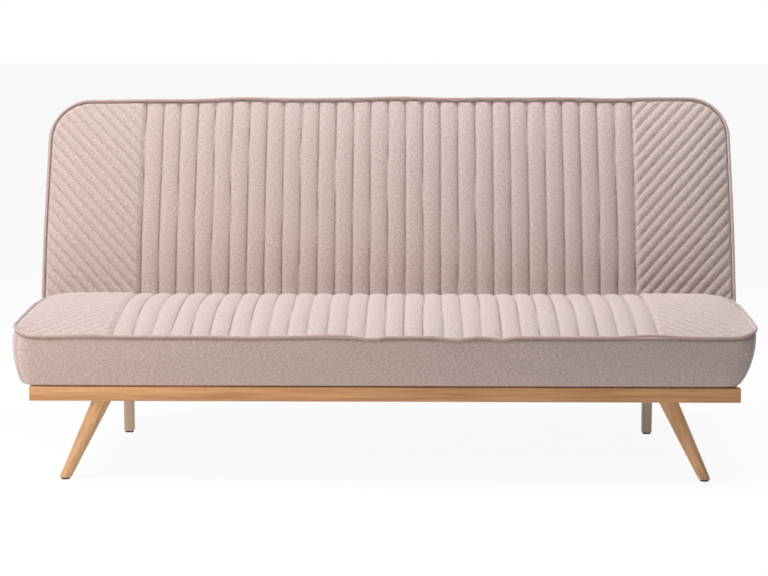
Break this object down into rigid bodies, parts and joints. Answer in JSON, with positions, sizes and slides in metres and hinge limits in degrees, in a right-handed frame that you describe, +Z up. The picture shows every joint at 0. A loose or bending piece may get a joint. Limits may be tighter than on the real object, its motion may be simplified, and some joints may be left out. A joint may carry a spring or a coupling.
{
  "type": "click clack sofa bed",
  "caption": "Armless sofa whose quilted backrest reclines on a ratchet hinge to lie level with the seat, on a wooden base with splayed front legs.",
  "frame": {"origin": "on the floor, under the middle of the sofa's bounding box as it stands upright", "axes": "+X along the sofa, to the right seen from the front; +Y to the rear; +Z up"},
  "size_m": [1.8234, 0.7962, 0.9006],
  "materials": {
    "light_wood": "clear lacquered hardwood with straight grain",
    "pale_wood": "pale lacquered hardwood",
    "frame_wood": "planed pine",
    "taupe_fabric": "fine woven upholstery cloth with a slight melange",
    "piping_fabric": "the same cloth cut on the bias over a cord",
    "dust_cover": "thin black felted cloth",
    "webbing": "woven elastic webbing",
    "zinc_steel": "zinc plated pressed steel",
    "glide_plastic": "matte moulded",
    "buffer_rubber": "matte"
  },
  "bodies": {
    "base": {"front_rail": "light_wood", "rear_rail": "pale_wood", "side_rails": "pale_wood", "cross_rails": "pale_wood", "corner_blocks": "frame_wood", "leg_boards": "frame_wood", "leg_plates": "zinc_steel", "leg_plate_screws": "zinc_steel", "front_leg_right": "light_wood", "front_leg_left": "light_wood", "rear_leg_right": "pale_wood", "rear_leg_left": "pale_wood", "rear_leg_bolts": "zinc_steel", "foot_glides": "glide_plastic", "seat_rest_pads": "buffer_rubber", "back_rest_pads": "buffer_rubber", "hinge_plate_right": "zinc_steel", "hinge_plate_left": "zinc_steel", "hinge_plate_bolts": "zinc_steel", "main_pins": "zinc_steel", "pawl_pins": "zinc_steel", "pawl_springs": "zinc_steel"},
    "seat": {"seat_arm_right": "zinc_steel", "seat_arm_left": "zinc_steel", "seat_arm_bolts": "zinc_steel", "seat_board_front": "frame_wood", "seat_board_rear": "frame_wood", "seat_boards_side": "frame_wood", "seat_boards_edge": "frame_wood", "seat_boards_inner": "frame_wood", "seat_webbing": "webbing", "seat_dust_cover": "dust_cover", "seat_border": "taupe_fabric", "seat_cushion": "taupe_fabric", "seat_piping": "piping_fabric"},
    "backrest": {"back_arm_right": "zinc_steel", "back_arm_left": "zinc_steel", "back_arm_bolts": "zinc_steel", "back_board_bottom": "frame_wood", "back_board_top": "frame_wood", "back_boards_side": "frame_wood", "back_boards_edge": "frame_wood", "back_wing_blocks": "frame_wood", "back_boards_inner": "frame_wood", "back_webbing": "webbing", "back_cover": "taupe_fabric", "back_border": "taupe_fabric", "back_cushion": "taupe_fabric", "back_piping": "piping_fabric"},
    "pawl_right": {"pawl_right": "zinc_steel"},
    "pawl_left": {"pawl_left": "zinc_steel"}
  },
  "joints": [
    {"name": "backrest_recline", "type": "hinge", "parent": "base", "child": "backrest", "pos_m": [0, 0.13363, 0.333], "axis": [-1, 0, 0], "range_deg": [0, 72]},
    {"name": "seat_lift", "type": "hinge", "parent": "base", "child": "seat", "pos_m": [0, 0.13363, 0.333], "axis": [-1, 0, 0], "range_deg": [0, 25]},
    {"name": "pawl_right_drop", "type": "hinge", "parent": "base", "child": "pawl_right", "pos_m": [0, 0.17991, 0.27784], "axis": [-1, 0, 0], "range_deg": [0, 6.3]},
    {"name": "pawl_left_drop", "type": "hinge", "parent": "base", "child": "pawl_left", "pos_m": [0, 0.17991, 0.27784], "axis": [-1, 0, 0], "range_deg": [0, 6.3]}
  ],
  "couplings": [
    {"joint": "pawl_left_drop", "follows": "pawl_right_drop", "ratio": 1}
  ]
}
